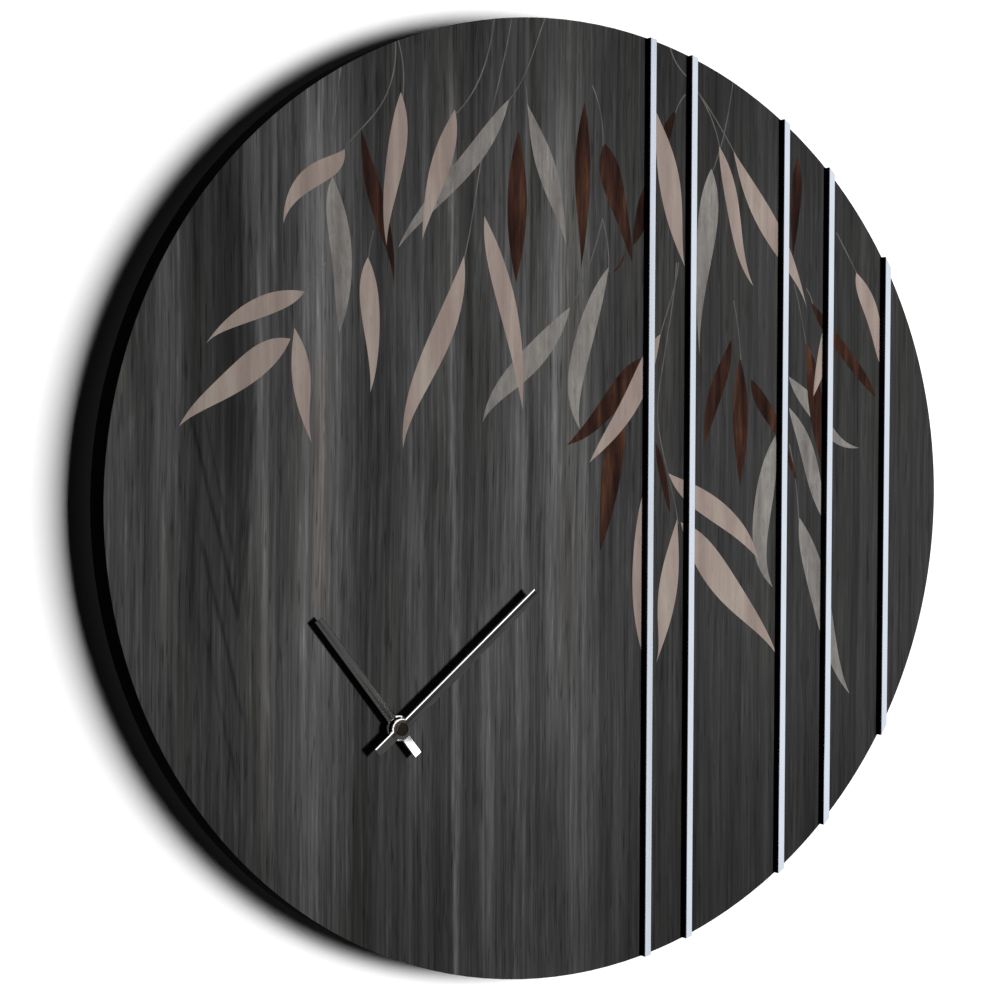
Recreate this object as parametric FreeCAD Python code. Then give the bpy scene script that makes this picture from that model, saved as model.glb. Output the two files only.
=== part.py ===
import FreeCAD, Part
import os
import math

os.makedirs("parts", exist_ok=True)

V = FreeCAD.Vector

# ---------------------------------------------------------------------------
# Round wall clock: a dark stained wood face with inlaid leaves, five polished
# metal bars let into the face, two bar hands off centre and a quartz movement
# in a pocket behind them.
#
# Frame: origin at the centre of the face that lies on the wall, +Z up,
# +X to the right as the clock is read, the dial looks along -Y.
# Everything is in millimetres.
# ---------------------------------------------------------------------------

# ---- panel ----------------------------------------------------------------
R_CLOCK = 300.0          # outer radius of the clock
BAND_T = 1.0             # edge band round the rim
R_CORE = R_CLOCK - BAND_T
BACK_T = 10.0            # backing disc, lies on the wall
R_BACK = 255.0
CORE_T = 21.0            # core board
VENEER_T = 1.0           # face veneer and the inlays in it
Y_WALL = 0.0
Y_CORE_BACK = -BACK_T
Y_CORE_FRONT = Y_CORE_BACK - CORE_T      # -31
Y_DIAL = Y_CORE_FRONT - VENEER_T         # -32, the dial surface

# ---- metal bars -----------------------------------------------------------
BAR_X = [66.25, 97.85, 170.8, 207.6, 255.2]
BAR_W = 4.6
BAR_PROUD = 4.6
BAR_DEPTH = 3.3          # how far each bar sits below the dial surface
Y_BAR_FRONT = Y_DIAL - BAR_PROUD
Y_BAR_BACK = Y_DIAL + BAR_DEPTH

# ---- hands and pivot ------------------------------------------------------
PX, PZ = -114.5, -136.0  # pivot on the dial
MIN_LEN, MIN_TAIL, MIN_ANG = 123.2, 21.0, 49.6      # clockwise from 12
HOUR_LEN, HOUR_TAIL, HOUR_ANG = 86.0, 21.5, -38.4
HAND_W = 5.9
HAND_TIP_W = 5.5
HAND_T = 2.0
HAND_BEVEL = 0.5
HOUR_EYE_R = 7.8         # round eye of each hand
MIN_EYE_R = 6.3
Y_HOUR = -36.6           # back face of the hour hand
Y_MIN = -40.4            # back face of the minute hand

# ---- movement -------------------------------------------------------------
Y_MF = -25.0             # front face of the movement case
CASE_W = 56.0
CASE_TOP, CASE_BOT = 26.5, -29.5
CASE_WALL = 1.2
D_SPLIT = 8.0            # depth where the two shells meet
D_REAR_IN = 14.6         # inner face of the rear plate
D_REAR = 15.8            # outer face of the rear plate
BAY_TOP_LO, BAY_TOP_HI = -13.0, -12.2    # wall between battery bay and train
BAT_R, BAT_V = 7.1, -20.65
BAT_D = 8.5              # depth of the battery axis
BAT_L = 48.6
RUN = 0.05               # radial running clearance

POCKET = 61.0            # square pocket in the core board
WEB_Y = -25.8            # bottom of that pocket

# wheel train: axes relative to the pivot (u right, v up)
A_THIRD = 12.24
A_MOTION = 12.48
A_INTER = 9.6
A_ROTOR = 8.4
T_ANG = 120.0
M_ANG = 180.0
I_ANG = 0.0
RT_ANG = 60.0


def pol(a, deg, o=(0.0, 0.0)):
    return (o[0] + a * math.cos(math.radians(deg)), o[1] + a * math.sin(math.radians(deg)))


AX_O = (0.0, 0.0)
AX_T = pol(A_THIRD, T_ANG)
AX_M = pol(A_MOTION, M_ANG)
AX_I = pol(A_INTER, I_ANG)
AX_R = pol(A_ROTOR, RT_ANG, AX_I)


# ---- helpers --------------------------------------------------------------
def save(name, shape):
    if isinstance(shape, (list, tuple)):
        shape = Part.makeCompound(list(shape))
    sols = shape.Solids
    if len(sols) == 1:
        shape = sols[0]
    else:
        shape = Part.makeCompound(sols)
    assert sols, name
    for s in sols:
        assert s.isValid(), name
    shape.exportStep("parts/%s.step" % name)
    print("%-22s solids %2d volume %.1f" % (name, len(sols), sum(s.Volume for s in sols)))


def box(x0, x1, y0, y1, z0, z1):
    return Part.makeBox(x1 - x0, y1 - y0, z1 - z0, V(x0, y0, z0))


def cyl(x, z, r, y0, y1):
    """cylinder along Y between y0 and y1"""
    a, b = min(y0, y1), max(y0, y1)
    return Part.makeCylinder(r, b - a, V(x, a, z), V(0, 1, 0))


def D(d):
    """depth inside the movement to Y"""
    return Y_MF + d


def mcyl(ax, r, d0, d1):
    return cyl(PX + ax[0], PZ + ax[1], r, D(d0), D(d1))


def mbox(u0, u1, d0, d1, v0, v1):
    return box(PX + u0, PX + u1, D(d0), D(d1), PZ + v0, PZ + v1)


def prism(pts, y0, y1):
    """closed polygon of (x, z) points pushed from y0 to y1"""
    p = [V(a, y0, b) for a, b in pts]
    w = Part.makePolygon(p + [p[0]])
    return Part.Face(w).extrude(V(0, y1 - y0, 0))


def fuse(first, *rest):
    s = first
    for r in rest:
        s = s.fuse(r)
    return s.removeSplitter()


def cut(a, *bs):
    for b in bs:
        a = a.cut(b)
    return a


# ---------------------------------------------------------------------------
# Gears. A wheel has straight-sided thin teeth. The pinion that meets it gets
# the tooth form that the wheel's teeth leave free as the two roll together,
# less a small clearance, so the pair turns without touching hard.
# ---------------------------------------------------------------------------
def wheel_radii(n, m):
    rp = n * m / 2.0
    return rp - 0.95 * m, rp + 0.75 * m      # root, tip


def wheel_half(n, m, r):
    """half angle of a tooth at radius r"""
    root, tip = wheel_radii(n, m)
    t = (r - root) / (tip - root)
    pitch = 2 * math.pi / n
    return pitch * (0.27 + (0.10 - 0.27) * t)


def wheel_points(n, m, deg):
    """outline of a wheel with a tooth centred on the direction deg"""
    root, tip = wheel_radii(n, m)
    pts = []
    for k in range(n):
        c = math.radians(deg) + k * 2 * math.pi / n
        for r, s in ((root, -1), (tip, -1), (tip, 1), (root, 1)):
            a = c + s * wheel_half(n, m, r)
            pts.append((r * math.cos(a), r * math.sin(a)))
    return pts


def pinion_points(n, m, nw, deg, clear=0.045):
    """outline of an n-leaf pinion that rolls with an nw-tooth wheel, with a
    gap centred on the direction deg"""
    a = (n + nw) * m / 2.0
    wr, wt = wheel_radii(nw, m)
    r_tip = n * m / 2.0 + 0.80 * m
    r_root = n * m / 2.0 - 1.25 * m
    pw = 2 * math.pi / nw
    steps = 8
    prof = []
    for k in range(steps + 1):
        th = (math.pi / n) * k / steps
        r = r_tip
        for j in range(-70, 71):
            ph = j / 70.0 * 1.3 * (2 * math.pi / n)
            al = ph * n / float(nw)
            q = r_root
            while q < r:
                x = q * math.cos(th + ph)
                y = q * math.sin(th + ph)
                dx = a - x
                rho = math.hypot(dx, y)
                if rho < wt + clear:
                    psi = math.atan2(y, dx) - al
                    psi = (psi + pw / 2) % pw - pw / 2
                    rr = min(max(rho - clear, wr), wt)
                    if rho < wr + clear or abs(psi) < wheel_half(nw, m, rr) + clear / rho:
                        r = q
                        break
                q += 0.012
        prof.append(max(r, r_root))
    pts = []
    for k in range(n):
        c = math.radians(deg) + k * 2 * math.pi / n
        for i in range(-steps, steps):
            r = prof[abs(i)]
            t = c + (math.pi / n) * i / steps
            pts.append((r * math.cos(t), r * math.sin(t)))
    return pts


def gear(ax, pts, d0, d1):
    return prism([(PX + ax[0] + p[0], PZ + ax[1] + p[1]) for p in pts], D(d0), D(d1))


def direction(a, b):
    return math.degrees(math.atan2(b[1] - a[1], b[0] - a[0]))


# ---------------------------------------------------------------------------
# Leaf inlays: base and tip of each leaf, and how far each of its two sides
# stands off the straight line between them, at four places along it.
# colour, base x, z, tip x, z, side a, side b
# ---------------------------------------------------------------------------
LEAVES = [
    ("grey", -156.9, 194.3, -152.0, 101.7, (8.7, 12.6, 12.1, 8.8), (-10.9, -2.2, -0.6, -3.4)),
    ("beige", -148.9, 210.7, -188.6, 164.7, (13.7, 0.5, -1.1, -6.6), (-3.5, -17.2, -11.9, -11.9)),
    ("brown", -138.1, 224.0, -116.0, 128.6, (2.2, 7.5, 7.8, 6.8), (-4.4, -9.2, -3.5, 5.2)),
    ("beige", -111.6, 247.0, -120.9, 154.9, (10.7, 9.3, 4.4, -0.6), (-5.4, -5.3, -6.5, -5.8)),
    ("grey", -36.6, 247.8, -113.1, 153.4, (12.0, 12.6, 7.4, 0.4), (-4.6, -0.3, -4.8, -6.4)),
    ("beige", -74.6, 239.0, -96.6, 159.1, (9.7, 7.8, 5.4, 0.5), (-5.3, -9.5, -7.2, -4.3)),
    ("beige", -133.3, 147.2, -131.5, 66.5, (8.3, 8.5, 6.7, 6.8), (-10.4, -6.1, -2.2, 1.4)),
    ("beige", -67.8, 150.4, -109.2, 32.8, (12.6, 12.5, 8.3, -4.9), (-2.0, -5.9, -9.8, -11.5)),
    ("beige", -174.9, 125.6, -237.4, 93.8, (8.0, -0.4, 3.5, -4.8), (-9.4, -12.5, -10.4, -7.4)),
    ("beige", -184.0, 97.5, -254.2, 45.7, (10.5, 6.8, 8.3, -1.8), (-17.4, -7.6, -7.1, -8.6)),
    ("beige", -181.5, 104.0, -169.9, 36.2, (6.4, 9.9, 3.7, -1.9), (-4.1, -9.0, -7.4, -4.6)),
    ("grey", 7.9, 120.9, -54.3, 48.7, (10.1, 10.1, 11.2, -4.8), (-5.8, -6.7, -10.3, -12.0)),
    ("beige", -53.7, 175.3, -25.9, 56.4, (8.4, 12.0, 12.3, 6.7), (-8.2, -2.9, -0.9, 0.7)),
    ("grey", -23.7, 245.9, 4.9, 159.9, (3.8, 11.5, 9.6, 4.4), (-3.4, -10.2, -5.9, 0.3)),
    ("brown", -29.6, 229.5, -31.0, 135.1, (4.1, 8.6, 8.8, 4.0), (-6.5, -8.5, -8.4, -5.6)),
    ("brown", 17.8, 249.7, 15.9, 145.8, (5.4, 6.4, 5.5, 3.9), (-5.9, -8.7, -6.2, -0.3)),
    ("brown", 32.9, 224.7, 53.6, 151.3, (12.1, 5.9, 3.6, 5.5), (-16.0, -7.6, -3.8, -2.8)),
    ("brown", 63.9, 201.2, 54.5, 161.6, (8.7, 8.2, 7.0, 6.1), (-3.4, -3.3, -2.4, -2.3)),
    ("brown", 85.9, 249.0, 79.2, 224.1, (1.3, 1.2, 1.0, 0.9), (-3.7, -6.1, -6.9, -5.2)),
    ("beige", 69.1, 250.8, 93.9, 149.7, (5.4, 14.2, 10.4, 0.5), (-2.2, -8.9, -9.8, -5.8)),
    ("grey", 113.9, 213.3, 105.9, 92.8, (14.9, 6.2, 1.2, -2.5), (-12.3, -7.5, -6.0, -4.9)),
    ("beige", 119.9, 228.2, 147.7, 138.7, (6.9, 7.7, 0.5, -3.6), (-5.8, -4.2, -7.2, -10.0)),
    ("beige", 131.3, 225.3, 191.0, 125.6, (3.4, 8.3, 12.2, 5.8), (-7.0, -12.0, -8.4, 4.8)),
    ("brown", 182.3, 225.4, 179.4, 158.9, (6.3, 5.7, 3.9, 2.0), (-4.0, -4.5, -4.3, -2.1)),
    ("beige", 231.7, 150.2, 252.8, 88.3, (9.0, 12.5, 9.4, 6.5), (-8.1, -0.4, 0.7, -2.1)),
    ("grey", 176.6, 80.1, 235.4, 32.9, (2.5, 8.6, -6.7, -7.8), (-10.4, -7.9, -12.4, -15.5)),
    ("brown", 194.6, 129.2, 249.1, 66.8, (4.2, 2.6, 4.0, 6.9), (-7.7, -5.3, -3.6, -4.5)),
    ("brown", 191.0, 102.7, 206.3, 15.2, (9.0, 7.3, 6.1, 4.1), (-3.4, -6.1, -6.4, -3.0)),
    ("beige", 211.2, 124.9, 197.1, 67.2, (7.2, 7.0, 6.4, 3.8), (-4.6, -4.4, -3.0, -2.8)),
    ("brown", 130.4, 103.5, 110.0, 34.5, (7.5, 5.0, 2.7, 1.9), (-2.9, -8.2, -8.8, -5.4)),
    ("brown", 137.6, 91.4, 138.4, 7.4, (5.8, 8.4, 7.6, 3.4), (-5.9, -6.8, -5.8, -3.2)),
    ("brown", 146.6, 77.7, 173.2, 32.9, (5.8, 4.7, 6.3, 8.0), (-7.8, -5.4, -2.7, -0.9)),
    ("grey", 36.3, 147.2, 16.0, 44.4, (1.4, -2.0, -1.6, -9.2), (-13.2, -15.5, -15.9, -22.6)),
    ("brown", 63.6, 90.9, 6.3, 34.9, (9.6, 10.2, 11.1, 10.4), (-10.1, -3.8, -1.0, 0.3)),
    ("brown", 49.6, 49.2, 31.1, -32.8, (3.7, 5.4, 4.9, 3.0), (-19.3, -10.3, -6.4, -5.6)),
    ("beige", 75.5, 105.7, 22.9, 23.8, (9.2, 14.1, 13.7, 7.3), (-9.0, 2.1, -1.2, -1.8)),
    ("grey", 166.4, 41.1, 165.4, -59.1, (3.7, 0.3, -4.9, -11.1), (-14.0, -17.0, -16.4, -25.2)),
    ("beige", 82.6, 16.6, 153.1, -39.8, (5.5, 15.0, 11.9, 13.7), (-10.0, -5.9, -0.7, 1.6)),
    ("grey", 177.1, 59.6, 205.6, -14.8, (9.6, 11.8, 9.5, 6.9), (-3.0, 2.3, -6.2, -3.1)),
    ("brown", 72.4, 36.8, 83.9, -9.3, (3.0, 3.7, 3.1, 2.2), (-2.4, -2.7, -2.2, -2.0)),
    ("beige", 66.2, 11.8, 63.1, -98.0, (4.7, 2.2, 2.1, 3.5), (-9.2, -7.9, -12.2, -7.9)),
    ("beige", 89.4, -12.7, 73.9, -105.4, (4.6, 10.1, 10.2, 4.4), (-3.8, -6.9, -12.5, 3.6)),
    ("beige", 92.1, -14.9, 169.2, -104.5, (16.7, 7.0, 7.9, 7.8), (-11.0, -15.4, -11.0, 2.1)),
    ("grey", 186.3, -13.2, 229.2, -132.4, (9.6, 9.9, 3.8, -4.0), (-12.8, -5.7, -9.8, -13.5)),
    ("brown", 47.6, 157.0, 39.7, 144.3, (2.8, 2.7, 2.8, 2.7), (2.0, 1.2, 0.7, 0.7)),
    ("brown", 173.8, 34.8, 183.6, 11.5, (1.7, 1.8, 2.0, 2.4), (-2.0, -1.8, -1.6, -1.5)),
]
STEMS = [
    [(-113.3, 276.5), (-115.9, 262.0), (-125.2, 238.0), (-137.2, 224.2), (-149.0, 211.0)],
    [(-112.6, 276.5), (-109.8, 260.0), (-110.4, 244.4)],
    [(-147.9, 259.6), (-154.4, 239.1), (-157.6, 215.3), (-157.5, 194.0)],
    [(-45.1, 292.8), (-53.4, 269.0), (-62.4, 250.1), (-73.5, 237.2)],
    [(-33.1, 295.1), (-42.1, 265.0), (-48.3, 241.3), (-56.6, 206.0), (-62.0, 175.2), (-67.5, 149.4)],
    [(-8.1, 297.7), (-21.6, 272.6), (-30.0, 256.0), (-37.1, 247.0)],
    [(-25.8, 260.0), (-24.3, 252.7), (-23.5, 245.4)],
    [(-129.6, 163.3), (-131.6, 154.8), (-132.9, 147.0)],
    [(-161.3, 143.0), (-167.8, 134.0), (-175.6, 126.0)],
    [(31.5, 177.6), (27.2, 162.3), (19.9, 143.2), (9.8, 123.5)],
    [(31.5, 177.6), (35.3, 162.6), (36.2, 146.3)],
    [(78.0, 289.0), (84.9, 281.3), (92.7, 272.9)],
    [(102.8, 262.1), (113.8, 249.4), (123.2, 237.1), (132.0, 224.7)],
    [(104.3, 260.3), (113.8, 245.5), (120.2, 227.3)],
    [(127.7, 268.4), (127.0, 250.3), (122.5, 231.9), (114.9, 212.2)],
    [(93.5, 259.6), (89.7, 254.9), (86.7, 248.9)],
    [(214.9, 176.4), (223.4, 163.4), (231.9, 150.3)],
    [(89.1, 151.9), (85.4, 133.9), (78.6, 114.5), (75.7, 105.5)],
    [(87.5, 151.9), (81.7, 108.2), (75.9, 76.1), (73.8, 56.9), (77.8, 31.3), (85.7, 4.3), (89.7, -13.8)],
    [(180.8, 140.7), (185.9, 122.4), (190.2, 104.0)],
    [(132.1, 128.8), (136.2, 109.4), (138.0, 92.5)],
    [(177.8, 35.2), (183.0, 11.3), (185.7, -13.2)],
    [(23.5, 260.4), (29.6, 243.9), (31.2, 225.2)],
    [(190.6, 138.4), (194.0, 133.2), (195.6, 128.6)],
]

STEM_W = 0.8


LEAF_STEPS = 26


def poly_face(pts, y):
    p = [V(a, y, b) for a, b in pts]
    return Part.Face(Part.makePolygon(p + [p[0]]))


def leaf_face(x0, z0, x1, z1, side_a, side_b, y):
    """outline of one leaf in short straight steps: each side is a smooth curve
    from the base to the tip, given by how far it stands off the straight line"""
    dx, dz = x1 - x0, z1 - z0
    length = math.hypot(dx, dz)
    nx, nz = -dz / length, dx / length

    def off(t, c):
        u = 1 - t
        return 5 * u ** 4 * t * c[0] + 10 * u ** 3 * t * t * c[1] + 10 * u * u * t ** 3 * c[2] + 5 * u * t ** 4 * c[3]

    left, right = [], []
    for i in range(LEAF_STEPS + 1):
        s = i / float(LEAF_STEPS)
        t = 0.25 - 0.25 * math.cos(math.pi * s) + 0.5 * s
        cx, cz = x0 + dx * t, z0 + dz * t
        if i in (0, LEAF_STEPS):
            left.append((cx, cz))
            continue
        a, b = off(t, side_a), off(t, side_b)
        left.append((cx + nx * a, cz + nz * a))
        right.append((cx + nx * b, cz + nz * b))
    return poly_face(left + list(reversed(right)), y)


def stem_face(pts, w, y):
    """thin line inlay of width w through the points. Its start runs out over
    the rim where it begins there, and its end runs a little into the leaf."""
    pts = list(pts)
    if math.hypot(*pts[0]) > 285.0:
        k = 306.0 / math.hypot(*pts[0])
        pts[0] = (pts[0][0] * k, pts[0][1] * k)
    (ax, az), (bx, bz) = pts[-2], pts[-1]
    dl = math.hypot(bx - ax, bz - az)
    pts[-1] = (bx + (bx - ax) / dl * 2.2, bz + (bz - az) / dl * 2.2)
    c = Part.BSplineCurve()
    c.interpolate([V(p[0], y, p[1]) for p in pts])
    n = max(8, int(c.length() / 4.5))
    left, right = [], []
    for i in range(n + 1):
        u = c.FirstParameter + (c.LastParameter - c.FirstParameter) * i / float(n)
        p, d = c.value(u), c.tangent(u)[0]
        nx, nz = -d.z, d.x
        left.append((p.x + nx * w / 2, p.z + nz * w / 2))
        right.append((p.x - nx * w / 2, p.z - nz * w / 2))
    return poly_face(left + list(reversed(right)), y)


def bbox_hit(a, b):
    return a.BoundBox.intersect(b.BoundBox)


y = Y_DIAL
disc_face = Part.Face(Part.Wire(Part.makeCircle(R_CLOCK, V(0, y, 0), V(0, -1, 0))))
if disc_face.normalAt(0, 0).y > 0:
    disc_face.reverse()


def slab_face(x0, x1):
    p = [V(x0, y, -320), V(x1, y, -320), V(x1, y, 320), V(x0, y, 320)]
    return Part.Face(Part.makePolygon(p + [p[0]]))


bar_faces = [slab_face(x - BAR_W / 2, x + BAR_W / 2) for x in BAR_X]
edges_x = [-320.0]
for x in BAR_X:
    edges_x += [x - BAR_W / 2, x + BAR_W / 2]
edges_x.append(320.0)
field_faces = [slab_face(edges_x[2 * i], edges_x[2 * i + 1]) for i in range(6)]

leaf_faces = []
for rowd in LEAVES:
    leaf_faces.append((rowd[0], leaf_face(*rowd[1:], y=y).common(disc_face)))
clean = []
for i, (col, f) in enumerate(leaf_faces):
    over = [g for c2, g in leaf_faces[i + 1:] if bbox_hit(f, g)]
    if over:
        f = f.cut(over)
    f = f.cut([b for b in bar_faces if bbox_hit(f, b)]) if any(bbox_hit(f, b) for b in bar_faces) else f
    clean.append((col, f))

groups = {"beige": [], "grey": [], "brown": []}
for col, f in clean:
    for face in f.Faces:
        if face.Area > 1.5:
            groups[col].append(face)
all_leaf_faces = [f for k in groups for f in groups[k]]

stem_faces = []
for pts in STEMS:
    f = stem_face(pts, STEM_W, y).common(disc_face)
    over = [g for g in all_leaf_faces if bbox_hit(f, g)] + [b for b in bar_faces if bbox_hit(f, b)]
    over += [g for g in stem_faces if bbox_hit(f, g)]
    if over:
        f = f.cut(over)
    for face in f.Faces:
        if face.Area > 0.6:
            stem_faces.append(face)

# ---- face: veneer fields, leaves, stems ------------------------------------
for col in ("beige", "grey", "brown"):
    save("leaf_inlays_" + col, [f.extrude(V(0, VENEER_T, 0)) for f in groups[col]])
save("stem_inlays", [f.extrude(V(0, VENEER_T, 0)) for f in stem_faces])

shaft_hole = cyl(PX, PZ, 4.1, -40, -20)
for i, ff in enumerate(field_faces):
    f = ff.common(disc_face)
    tools = [g for g in all_leaf_faces + stem_faces if bbox_hit(f, g)]
    if tools:
        f = f.cut(tools)
    s = f.extrude(V(0, VENEER_T, 0))
    if i == 0:
        s = s.cut(shaft_hole)
    save("face_veneer_%d" % (i + 1), s)

# ---- core board -------------------------------------------------------------
core = cyl(0, 0, R_CORE, Y_CORE_FRONT, Y_CORE_BACK)
for x in BAR_X:
    core = core.cut(box(x - BAR_W / 2, x + BAR_W / 2, Y_CORE_FRONT - 1, Y_BAR_BACK, -310, 310))
pc_z = PZ + (CASE_TOP + CASE_BOT) / 2
core = core.cut(box(PX - POCKET / 2, PX + POCKET / 2, WEB_Y, 1, pc_z - POCKET / 2, pc_z + POCKET / 2))
core = core.cut(shaft_hole)
SCREW_PTS = [pol(235.0, a) for a in (0, 60, 120, 180, 300)] + [pol(120.0, 45)]
for sx, sz in SCREW_PTS:
    core = core.cut(cyl(sx, sz, 2.0, -21.0, 1))
save("core_panel", core)

# ---- edge band --------------------------------------------------------------
band = cyl(0, 0, R_CLOCK, Y_CORE_FRONT, Y_CORE_BACK).cut(cyl(0, 0, R_CORE, Y_CORE_FRONT - 1, Y_CORE_BACK + 1))
for x in BAR_X:
    for s in (-1, 1):
        z0 = s * math.sqrt(R_CORE ** 2 - x ** 2)
        band = band.cut(box(x - BAR_W / 2, x + BAR_W / 2, Y_CORE_FRONT - 1, Y_BAR_BACK, z0 - 12, z0 + 12))
save("edge_band", band)

# ---- metal bars ---------------------------------------------------------------
rim = cyl(0, 0, R_CLOCK, Y_BAR_FRONT - 1, Y_BAR_BACK + 1)
for i, x in enumerate(BAR_X):
    b = box(x - BAR_W / 2, x + BAR_W / 2, Y_BAR_FRONT, Y_BAR_BACK, -310, 310).common(rim)
    ed = [e for e in b.Edges if abs(e.BoundBox.YMin - Y_BAR_FRONT) < 1e-6 and abs(e.BoundBox.YMax - Y_BAR_FRONT) < 1e-6
          and e.BoundBox.ZLength > 100]
    b = b.makeChamfer(0.25, ed)
    save("metal_bar_%d" % (i + 1), b)

# ---- backing disc ---------------------------------------------------------------
WIN = 40.0
back = cyl(0, 0, R_BACK, Y_CORE_BACK, Y_WALL)
back = back.cut(box(PX - WIN, PX + WIN, -20, 5, pc_z - WIN, pc_z + WIN))
for sx, sz in SCREW_PTS:
    back = back.cut(cyl(sx, sz, 2.0, -20, 5))
    back = back.cut(Part.makeCone(2.0, 4.2, 2.2, V(sx, -2.2 - 0.3, sz), V(0, 1, 0)))
    back = back.cut(cyl(sx, sz, 4.2, -0.3, 1))
# hanger recess and the pocket behind it for the screw head
HZ = 205.0               # centre of the round entrance of the keyhole
HP_W, HP_T = 22.0, 1.6   # plate width, thickness
H_LO, H_HI = HZ - 16.0, HZ + 34.0
HS_LO, HS_HI = HZ - 11.0, HZ + 29.0      # its two fixing screws
back = back.cut(box(-HP_W / 2, HP_W / 2, -HP_T, 1, H_LO, H_HI))
back = back.cut(cyl(0, HZ, 6.0, -7.5, -HP_T)).cut(cyl(0, HZ + 14.0, 6.0, -7.5, -HP_T))
back = back.cut(box(-6.0, 6.0, -7.5, -HP_T, HZ, HZ + 14.0))
for hz in (HS_LO, HS_HI):
    back = back.cut(cyl(0, hz, 1.25, -9.0, 0))
save("backing_disc", back)

screws = []
for sx, sz in SCREW_PTS:
    s = cyl(sx, sz, 2.0, -20.0, -2.4)
    s = s.fuse(Part.makeCone(2.0, 4.1, 2.1, V(sx, -2.5, sz), V(0, 1, 0)))
    s = s.cut(box(sx - 2.6, sx + 2.6, -1.4, 1, sz - 0.45, sz + 0.45)).cut(box(sx - 0.45, sx + 0.45, -1.4, 1, sz - 2.6, sz + 2.6))
    screws.append(s.removeSplitter())
save("backing_screws", screws)

# ---- keyhole hanger ---------------------------------------------------------------
KEY_R = 4.5
hp = box(-HP_W / 2, HP_W / 2, -HP_T, 0, H_LO, H_HI)
ve = [e for e in hp.Edges if e.BoundBox.YLength > 1 and e.BoundBox.ZLength < 0.1]
hp = hp.makeFillet(5.0, ve)
hp = hp.cut(cyl(0, HZ, KEY_R, -3, 1)).cut(box(-2.1, 2.1, -3, 1, HZ, HZ + 14.0)).cut(cyl(0, HZ + 14.0, 2.1, -3, 1))
for hz in (HS_LO, HS_HI):
    hp = hp.cut(cyl(0, hz, 1.3, -3, 1)).cut(Part.makeCone(1.3, 2.7, 1.4, V(0, -1.4, hz), V(0, 1, 0)))
save("keyhole_hanger", hp)
hs = []
for hz in (HS_LO, HS_HI):
    s = cyl(0, hz, 1.25, -9.0, -1.35).fuse(Part.makeCone(1.25, 2.6, 1.35, V(0, -1.35, hz), V(0, 1, 0)))
    s = s.cut(box(-1.8, 1.8, -0.6, 1, hz - 0.3, hz + 0.3)).cut(box(-0.3, 0.3, -0.6, 1, hz - 1.8, hz + 1.8))
    hs.append(s.removeSplitter())
save("hanger_screws", hs)

# ---------------------------------------------------------------------------
# Quartz movement
# ---------------------------------------------------------------------------
H2 = CASE_W / 2
W = CASE_WALL


def ring_walls(d0, d1):
    return mbox(-H2, H2, d0, d1, CASE_BOT, CASE_TOP).cut(
        mbox(-H2 + W, H2 - W, d0 - 1, d1 + 1, CASE_BOT + W, CASE_TOP - W))


# front shell: plate, walls, bay wall, pillars for the bridge and the board
front = fuse(mbox(-H2, H2, 0, W, CASE_BOT, CASE_TOP), ring_walls(0, D_SPLIT),
             mbox(-H2 + W, H2 - W, 0, D_SPLIT, BAY_TOP_LO, BAY_TOP_HI))
PILLARS = [(19.5, -4.2), (19.5, 9.0), (13.9, -4.2)]
for p in PILLARS:
    front = front.fuse(mcyl(p, 1.3, 0.5, 6.3)).fuse(mcyl(p, 0.7, 6.0, 7.5))
PCB_POSTS = [(-23.0, 22.5), (-2.0, 23.2)]
for p in PCB_POSTS:
    front = front.fuse(mcyl(p, 1.2, 0.5, 9.2)).fuse(mcyl(p, 0.7, 9.0, 10.5))
front = front.cut(mcyl(AX_O, 4.0, -1, 3))
for ax, r in ((AX_T, 0.6), (AX_M, 0.6)):
    front = front.fuse(mcyl(ax, 1.4, 0.5, 1.6)).cut(mcyl(ax, r + RUN, 0.4, 3))
save("movement_front_shell", front.removeSplitter())

# rear shell: plate, walls, bearing bosses, open battery bay
rear = fuse(mbox(-H2, H2, D_REAR_IN, D_REAR, CASE_BOT, CASE_TOP), ring_walls(D_SPLIT, D_REAR),
            mbox(-H2 + W, H2 - W, D_SPLIT, D_REAR, BAY_TOP_LO, BAY_TOP_HI))
rear = rear.cut(mbox(-H2 + W, H2 - W, D_SPLIT - 1, D_REAR + 1, CASE_BOT + W, BAY_TOP_LO))
rear = rear.fuse(mcyl(AX_M, 2.0, 13.6, D_REAR)).cut(mcyl(AX_M, 0.9 + RUN, 10, 20))
for ax in (AX_O, AX_T, AX_I, AX_R):
    rear = rear.fuse(mcyl(ax, 1.3, 13.8, 15.0)).cut(mcyl(ax, 0.4 + RUN, 13.0, 15.2))
# finger relief in the two ends of the battery bay
rear = rear.cut(mbox(-9, 9, 11.0, 20, CASE_BOT - 1, CASE_BOT + W + 0.1))
save("movement_rear_shell", rear.removeSplitter())

# bridge that carries the front pivots of rotor and intermediate wheel
br = prism([(PX + a, PZ + b) for a, b in ((7.6, -2.0), (11.9, -6.0), (21.5, -6.0), (21.5, 11.0), (12.0, 11.0), (7.6, 3.0))],
           D(6.3), D(7.1))
for p in PILLARS:
    br = br.cut(mcyl(p, 0.7, 5, 9))
for ax in (AX_I, AX_R):
    br = br.cut(mcyl(ax, 0.4 + RUN, 5, 9))
save("train_bridge", br)

# circuit board, chip, crystal
pcb = mbox(-26.0, 0.5, 9.2, 10.0, 13.0, 25.0)
for p in PCB_POSTS:
    pcb = pcb.cut(mcyl(p, 0.7, 8, 12))
save("circuit_board", pcb)
chip = Part.makeSphere(4.0, V(PX - 17.5, D(10.0) - 2.6, PZ + 18.0)).common(
    mbox(-25, -10, 10.0, 14.0, 14.0, 24.9))
save("driver_chip", chip)
cr = Part.makeCylinder(1.0, 6.0, V(PX - 11.5, D(11.0), PZ + 20.5), V(1, 0, 0))
save("quartz_crystal", cr)

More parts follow.
